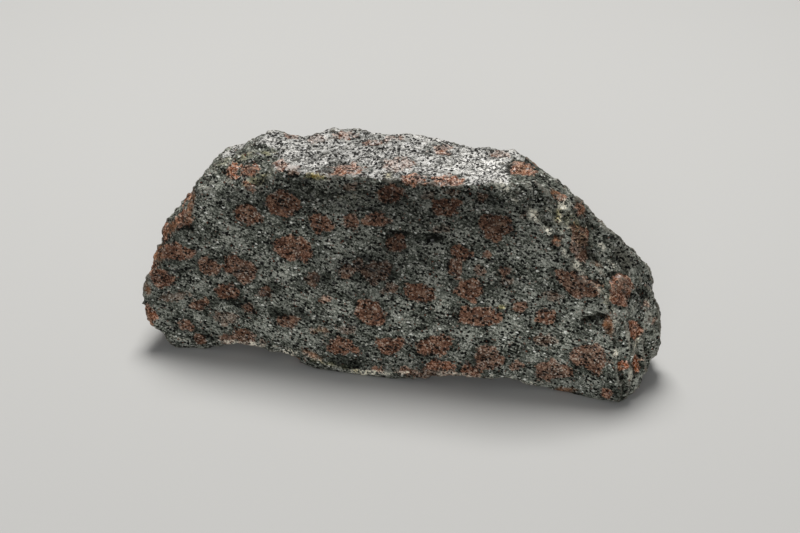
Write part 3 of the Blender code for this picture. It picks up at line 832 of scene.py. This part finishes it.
# %% [markdown]
# ## The grains
# Under a lens the groundmass is a grey-green felt, peppered with near-black grains and salted with pale
# ones, each about a third of a millimetre across. A cell texture gives that: each cell has a random
# colour, whose channels say what mineral it is, and a distance from its middle, which rounds it to a
# speck. Some of the mottling is added to the random value, and gathers the grains into streaks. A few
# fine cells become near-white points: painted glints, for cleavage faces that catch the light.

# %% Find the dark, pale and fine grains, and the painted glints
DARK_GRAINS_PER_MM, PALE_GRAINS_PER_MM, FINE_GRAINS_PER_MM = 2.5, 3.1, 2.8


def rounded(where, grains_per_mm, full_within, gone_beyond):
    """A speck in the middle of every cell."""
    return 1.0 - rock.crystals(where, grains_per_mm).between(full_within, gone_beyond)


dark_cell = rock.crystals(laid, DARK_GRAINS_PER_MM, "Color")
grain = rock.channel(dark_cell, "Red")
second_grain = rock.channel(dark_cell, "Green")
dark_speck = rounded(laid, DARK_GRAINS_PER_MM, 0.50, 0.56) * (grain + streak + 0.5 * curd).between(0.64, 0.67)

pale_cell = rock.crystals(bent, PALE_GRAINS_PER_MM, "Color")
pale_grain = rock.channel(pale_cell, "Green")
red_grain = rock.channel(pale_cell, "Blue")
pale_round = rounded(bent, PALE_GRAINS_PER_MM, 0.36, 0.54)
pale_speck = pale_round * (pale_grain + 0.9 * cloud + 0.6 * curd).between(0.60, 0.80)
red_speck = pale_round * red_grain.between(0.94, 0.96)

fine_cell = rock.crystals(laid, FINE_GRAINS_PER_MM, "Color")
fine_round = rounded(laid, FINE_GRAINS_PER_MM, 0.46, 0.55)
# Painted glints: a few fine cells painted near-white, as highlights.
painted_glint = fine_round * rock.channel(fine_cell, "Red").between(0.95, 0.97)
pepper = fine_round * (rock.channel(fine_cell, "Green") + streak + 0.6 * curd).between(0.62, 0.66)
print("a dark grain is", 1 / DARK_GRAINS_PER_MM, "mm wide")

# %% [markdown]
# ## The groundmass
# Between the specks the grey-green runs from nearly black to light grey. The mottling is added up to one
# value, and a colour ramp turns it into four tones of the same hue. The rough breaks hold more contrast
# than the smooth front, so there the curd counts for more. Then the grains go in, kind by kind.

# %% Colour the groundmass
GREY_GREEN = [
    (0.10, (0.012, 0.013, 0.010)), (0.36, (0.057, 0.063, 0.051)), (0.60, (0.136, 0.147, 0.124)),
    (0.90, (0.350, 0.362, 0.318)),
]
PALE_GRAIN = (0.470, 0.475, 0.420)
BLACK_GRAIN = (0.0022, 0.0025, 0.0022)
RED_GRAIN = (0.150, 0.052, 0.030)
PAINTED_GLINT_COLOUR = (0.74, 0.75, 0.70)

patch = 0.53 + 0.9 * cloud + streak + 0.5 * curd + 0.6 * thread + 1.7 * felt + 1.2 * fine
patch = patch + 0.9 * rock.kept("rough_break") * (curd + 0.02)
groundmass = rock.ramp(patch, GREY_GREEN)
groundmass = rock.blend(pale_speck * 0.90, groundmass, PALE_GRAIN)
groundmass = rock.blend(dark_speck * 0.98, groundmass, BLACK_GRAIN)
groundmass = rock.blend(red_speck * 0.7, groundmass, RED_GRAIN)
# Painted glints, as near-white points.
groundmass = rock.blend(painted_glint * 0.9, groundmass, PAINTED_GLINT_COLOUR)
print("groundmass ramp has", len(GREY_GREEN), "tones")

# %% [markdown]
# ## The pale top, with painted light
# The top is a fresher break through the pale layers: mostly whitish grains, the same black pepper
# between them, and thin grey streaks along the layers. Its colour is also painted whiter than the rock's
# own, as painted light from the lamp above. The facing of the surface chooses it, except where the list
# of dull marks above keeps it away.

# %% Make the pale top, with its painted light
WHITE_GREY = [
    (0.10, (0.050, 0.050, 0.046)), (0.34, (0.200, 0.200, 0.188)), (0.58, (0.400, 0.397, 0.375)),
    (0.90, (0.740, 0.730, 0.700)),
]
WHITE_GRAIN = (0.93, 0.92, 0.89)
BLACK_PEPPER = (0.006, 0.006, 0.006)
DARK_GREY_GRAIN = (0.020, 0.020, 0.018)

white_patch = 0.62 + 0.3 * cloud + 1.8 * streak + 1.6 * thread + 1.8 * felt + 1.8 * fine
white = rock.ramp(white_patch, WHITE_GREY)
white = rock.blend(pale_speck * 0.85, white, WHITE_GRAIN)
white = rock.blend(pepper * 0.97, white, BLACK_PEPPER)
white = rock.blend(dark_speck * 0.90, white, DARK_GREY_GRAIN)
# The top's share: a paler break, and painted light on the upward faces.
top_and_painted_light_share = (rock.kept("pale_top") + 0.6 * felt + curd + 0.4 * cloud).between(0.28, 0.58)
matrix = rock.blend(top_and_painted_light_share, groundmass, white)
print("top ramp has", len(WHITE_GREY), "tones")

# %% [markdown]
# ## The finish of the garnets
# A garnet isn't even either: it is full of pale specks of quartz and dark ones of rutile, and its rim is
# eaten into by the groundmass. So the depth below the rim, which the mesh keeps, is upset by noise
# before it is cut into inside and outside. The tone of each garnet then darkens it towards brown, or
# brightens it towards the orange of a fresh chip. The inside of a large one is a little cooler.

# %% Make the garnet colour
RED_BROWN = [
    (0.10, (0.018, 0.009, 0.006)), (0.38, (0.084, 0.039, 0.024)), (0.62, (0.164, 0.080, 0.050)),
    (0.90, (0.330, 0.195, 0.130)),
]
QUARTZ_SPECK = (0.470, 0.380, 0.310)
RUTILE_SPECK = (0.005, 0.004, 0.003)
COOLER_CORE = (0.78, 0.93, 1.00)
TOWARDS_BROWN = (0.42, 0.46, 0.48)
TOWARDS_ORANGE = (2.1, 1.32, 0.86)
CHIPPED_GRAIN = (0.78, 0.66, 0.57)

swirl = rock.swing(bent, 0.8)
depth = rock.kept("garnet_depth") + (1.5 * swirl + 0.9 * felt + 0.15 * (grain - 0.5))
is_garnet = depth.between(-0.12, 0.12) * rock.kept("garnet_strength")
garnet_patch = 0.5 + 1.2 * swirl + 1.5 * felt + 1.3 * fine
garnet = rock.ramp(garnet_patch, RED_BROWN)
garnet = rock.blend(pale_speck * 0.80, garnet, QUARTZ_SPECK)
garnet = rock.blend(dark_speck * 0.95, garnet, RUTILE_SPECK)
core = (depth + 0.8 * curd).between(0.5, 1.7)
garnet = rock.tint(core * 0.6, garnet, COOLER_CORE)
tone = rock.kept("garnet_tone")
brown = (1.0 - tone * 2.4).limited()
fresh = (tone * 2.6 - 1.5).limited()
garnet = rock.tint(brown, garnet, TOWARDS_BROWN)
garnet = rock.tint(fresh, garnet, TOWARDS_ORANGE)
garnet = rock.blend(fresh * (felt + 0.6 * fine).between(0.04, 0.12) * 0.7, garnet, CHIPPED_GRAIN)
print("garnet ramp has", len(RED_BROWN), "tones")

# %% [markdown]
# Round some garnets lies a thin dark rim, where they have reacted with the groundmass. A slow noise
# chooses which stretches of rim have it. On the pale top the garnets are dusted with its white grains,
# which carry its painted light too.

# %% Put the garnets in the groundmass
REACTION_RIM = (0.24, 0.26, 0.24)

rim = depth.between(-0.75, -0.2) * (1.0 - depth.between(-0.2, 0.10))
some_rims = rock.mottle(bent, 0.35).between(0.36, 0.54)
matrix = rock.tint(rim * some_rims * rock.kept("garnet_strength") * 0.9, matrix, REACTION_RIM)
garnet = rock.blend(top_and_painted_light_share * (0.45 - 0.35 * fresh), garnet, white)
surface = rock.blend(is_garnet, matrix, garnet)
print(len(rock.tree.nodes), "nodes so far")

# %% [markdown]
# ## Stains
# Stains lie over both minerals, thickest between the grains. Every soft value from the mesh is broken up
# by noise before it is used, or it would look airbrushed. Rust has a ramp of its own, because it runs
# from dark brown in the hollows to orange on the grains. The olive stain multiplies what is below it, as
# a thin film does, and goes deeper where it is strongest.

# %% Lay the stains and the painted shadows over
DARKER_PATCH = (0.20, 0.22, 0.20)
PALE_CRUST = (0.76, 0.72, 0.60)
RUST = [(0.2, (0.030, 0.013, 0.007)), (0.8, (0.42, 0.19, 0.09))]
OLIVE_FILM = (1.05, 0.92, 0.46)
DEEP_OLIVE = (0.80, 0.62, 0.22)

broken = rock.swing(bent, 1.1, 3.0, 0.65)
dark = (rock.kept("dark_patch") + 0.9 * broken).between(0.15, 0.75)
pale = (rock.kept("pale_mark") + 0.9 * broken).between(0.25, 0.75)
rust = (rock.kept("rust_stain") + 0.8 * broken).between(0.2, 0.8)
olive_mark = rock.kept("olive_stain")
olive = (olive_mark + 0.8 * broken).between(0.2, 0.8)
# Dark patches: pyroxene-rich rock, and painted shadow under small ledges and pits.
surface = rock.tint(dark * (1.0 - 0.5 * is_garnet) * 0.9, surface, DARKER_PATCH)
surface = rock.blend(pale * (felt + 0.5 * curd).between(-0.06, 0.08) * 0.8, surface, PALE_CRUST)
surface = rock.blend(rust * 0.72, surface, rock.ramp(garnet_patch, RUST))
surface = rock.tint(olive * 0.85, surface, OLIVE_FILM)
surface = rock.tint(olive_mark.between(0.85, 1.2), surface, DEEP_OLIVE)
print("stains are laid")

# %% [markdown]
# ## Wear and painted shade
# Rubbed edges are paler, and hollows are darkened with painted shade. Both come from how far a vertex
# stands out from its surroundings. The ridges of the right flank are worn and also lightened as a painted
# highlight, and the grooves between them get painted shade. The pits get painted shade too. Last, the
# broad tones, which hold painted shade and light as well, make the whole surface a little lighter or darker.

# %% Wear the edges, and paint shade into the hollows, grooves and pits
HOLLOW_PAINTED_SHADE = (0.50, 0.49, 0.45)
RUBBED_EDGE = (0.42, 0.39, 0.33)
GROOVE_PAINTED_SHADE = (0.32, 0.30, 0.26)
RIDGE_WEAR_AND_HIGHLIGHT = (0.40, 0.37, 0.30)
PIT_PAINTED_SHADE = (0.14, 0.14, 0.12)

edge = rock.kept("rubbed_edge")
# Painted shade in the hollows, and wear on the edges.
surface = rock.tint((-edge).between(0.15, 0.9) * 0.6, surface, HOLLOW_PAINTED_SHADE)
surface = rock.blend((edge + 0.5 * broken).between(0.25, 0.95) * 0.30, surface, RUBBED_EDGE)
ridge = rock.kept("flank_ridge")
# Painted shade in the grooves between the flank ridges. The ridges are worn and lightened as a painted
# highlight.
surface = rock.tint((-ridge + 0.6 * broken).between(0.10, 0.75) * 0.7, surface, GROOVE_PAINTED_SHADE)
surface = rock.blend((ridge + 0.6 * broken).between(0.35, 0.80) * 0.22, surface, RIDGE_WEAR_AND_HIGHLIGHT)
# Painted shade in the pits.
surface = rock.tint(rock.kept("pit").between(0.2, 0.9) * 0.9, surface, PIT_PAINTED_SHADE)
# The lightness carries the broad tones, among them painted shade under the top edge and painted light on the
# lower front.
lightness = 1.0 + rock.kept("broad_tone") + 0.6 * pale
rock.give("Base Color", rock.scaled(surface, lightness))
print("the colour takes", len(rock.tree.nodes), "nodes")

# %% [markdown]
# ## Grain relief
# The finest relief, below the size of the mesh's faces, is a bump: each grain stands a little higher or
# lower than the next. Pale grains are hard and stand up, and the black ones have crumbled a little.

# %% Add the bump
BUMP_STRENGTH, BUMP_DEPTH = 0.9, 0.00026

height = 0.55 + 0.9 * felt + 0.35 * pale_speck - 0.60 * dark_speck + 0.5 * rock.swing(bent, 1.2)
inputs = {"Strength": BUMP_STRENGTH, "Distance": BUMP_DEPTH, "Height": height}
rock.give("Normal", rock.node("ShaderNodeBump", {}, inputs, "Normal"))
print("grains are up to", round(BUMP_DEPTH * MM_PER_METRE, 2), "mm high")

# %% [markdown]
# ## Gloss
# Broken rock is dull: a usual gloss would lay a grey veil over the black grains. So the specular level
# is low, one number for the whole stone, because the exported model would drop a linked one. A cleavage
# face here and there still catches the light, so those few grains get a lower roughness and a thin coat.

# %% Add the gloss
DULL_ROUGHNESS, LESS_ON_A_GLINT = 0.80, 0.30
DULL_SPECULAR_LEVEL = 0.12
COAT_ON_A_GLINT, COAT_ROUGHNESS = 0.7, 0.28

glint = second_grain.between(0.86, 0.94)
rock.give("Roughness", DULL_ROUGHNESS - LESS_ON_A_GLINT * glint)
rock.give("Coat Weight", glint * COAT_ON_A_GLINT)
rock.give("Metallic", 0.0)
rock.give("Specular IOR Level", DULL_SPECULAR_LEVEL)
rock.give("Coat Roughness", COAT_ROUGHNESS)
stone.data.materials.append(rock.material)
print("finish has", len(rock.tree.nodes), "nodes")

# %% [markdown]
# ## Hand the stone over
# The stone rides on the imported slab's only body and stands for it, so the plain slab isn't shown.

# %% Join the stone to the frame
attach(stone, "root")
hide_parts(SLAB_NODE)
print(stone.name, "takes the place of", SLAB_NODE)

# %% [markdown]
# ## The floor
# A plain matt floor carries the stone's shadow. It is a stage and no part of the stone.


# %% Lay the floor
def plain_paint(name, colour, roughness):
    """A plain matt paint."""
    paint = Finish(name)
    paint.give("Base Color", colour)
    paint.give("Roughness", roughness)
    return paint.material


FLOOR_HALF = 2.0
FLOOR_GREY = (0.55, 0.55, 0.54)
FLOOR_ROUGHNESS = 0.9

floor_mesh = bpy.data.meshes.new("pale floor")
corners = [(x * FLOOR_HALF, y * FLOOR_HALF, 0) for x, y in ((-1, -1), (1, -1), (1, 1), (-1, 1))]
floor_mesh.from_pydata(corners, [], [(0, 1, 2, 3)])
floor = bpy.data.objects.new("pale_floor", floor_mesh)
floor.data.materials.append(plain_paint("floor paint", FLOOR_GREY, FLOOR_ROUGHNESS))
bpy.context.scene.collection.objects.link(floor)
print("floor is", 2 * FLOOR_HALF, "m wide")

# %% [markdown]
# ## The lights
# The stone is lit as on a photographer's table: a broad soft light above and a little behind, which
# makes the top bright and leaves the front in gentle shade, and a weak fill from the front. The room
# adds a faint even light.


# %% Hang the lights
def soft_light(name, place, size, watts, colour=(1.0, 1.0, 1.0)):
    """Hang a square area light that looks at the stone."""
    data = bpy.data.lights.new(name, "AREA")
    data.shape = "SQUARE"
    data.size = size
    data.energy = watts
    data.color = colour
    light = bpy.data.objects.new(name, data)
    light.location = place
    light.rotation_mode = "QUATERNION"
    light.rotation_quaternion = (AIM - Vector(place)).to_track_quat("-Z", "Y")
    bpy.context.scene.collection.objects.link(light)


WARM_WHITE = (1.0, 0.985, 0.96)
soft_light("overhead softbox", place=(-0.05, 0.16, 0.50), size=0.22, watts=2.8, colour=WARM_WHITE)
soft_light("front fill", place=(0.16, -0.70, 0.26), size=0.30, watts=1.5)

ROOM_COLOUR = (0.80, 0.81, 0.83, 1.0)
ROOM_STRENGTH = 0.16
world = bpy.data.worlds.new("soft room")
world.use_nodes = True
background = world.node_tree.nodes["Background"]
background.inputs["Color"].default_value = ROOM_COLOUR
background.inputs["Strength"].default_value = ROOM_STRENGTH
bpy.context.scene.world = world
print("lights:", [light.name for light in bpy.data.lights])

# %% [markdown]
# ## The view transform
# Blender's usual view transform is made for bright film scenes, and flattens the contrast between
# near-black and pale grains that makes this rock. The standard one leaves colours as they are.

# %% Choose the view transform
bpy.context.scene.view_settings.view_transform = "Standard"
print("colours are shown as they are")
